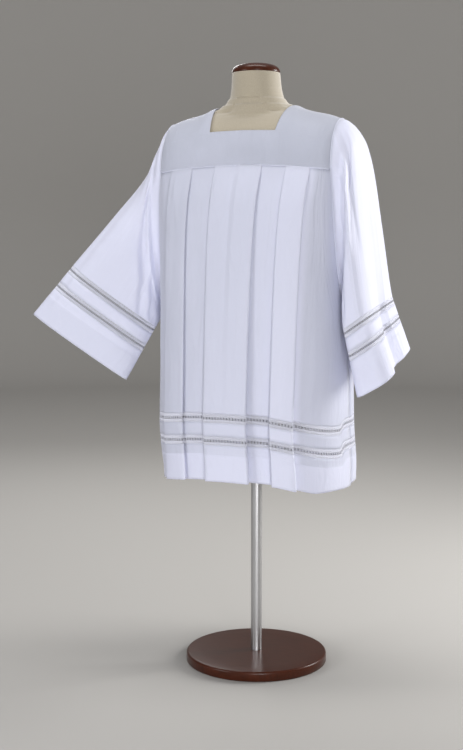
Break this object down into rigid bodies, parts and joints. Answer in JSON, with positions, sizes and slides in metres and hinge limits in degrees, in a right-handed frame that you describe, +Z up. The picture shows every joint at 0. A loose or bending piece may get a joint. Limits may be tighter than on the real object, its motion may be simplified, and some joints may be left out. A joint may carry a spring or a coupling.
{
  "type": "surplice on dress form",
  "caption": "White knee-length surplice with a square yoke, box pleats and openwork bands, on a limbless dress form with a round base.",
  "frame": {"origin": "centre of the underside of the stand's round base, on the floor", "axes": "+Z up; -Y out of the garment's front; +X towards the wearer's left"},
  "size_m": [0.9974, 0.4439, 1.5903],
  "materials": {
    "white_cloth": "smooth plain-weave cloth, white with a cool cast",
    "openwork": "drawn-thread ladder insertion, white threads with small gaps",
    "form_linen": "cream linen cover, matte",
    "turned_wood": "reddish-brown varnish",
    "pole_steel": "satin"
  },
  "bodies": {
    "root": {"front_panel": "white_cloth", "front_lace_upper": "openwork", "front_strip": "white_cloth", "front_lace_lower": "openwork", "front_hem": "white_cloth", "back_panel": "white_cloth", "back_lace_upper": "openwork", "back_strip": "white_cloth", "back_lace_lower": "openwork", "back_hem": "white_cloth", "right_sleeve": "white_cloth", "right_lace_upper": "openwork", "right_strip": "white_cloth", "right_lace_lower": "openwork", "right_cuff": "white_cloth", "left_sleeve": "white_cloth", "left_lace_upper": "openwork", "left_strip": "white_cloth", "left_lace_lower": "openwork", "left_cuff": "white_cloth", "yoke_front": "white_cloth", "yoke_back": "white_cloth", "form_torso": "form_linen", "form_neck_cap": "turned_wood", "form_pole": "pole_steel", "form_base": "turned_wood"}
  },
  "joints": []
}
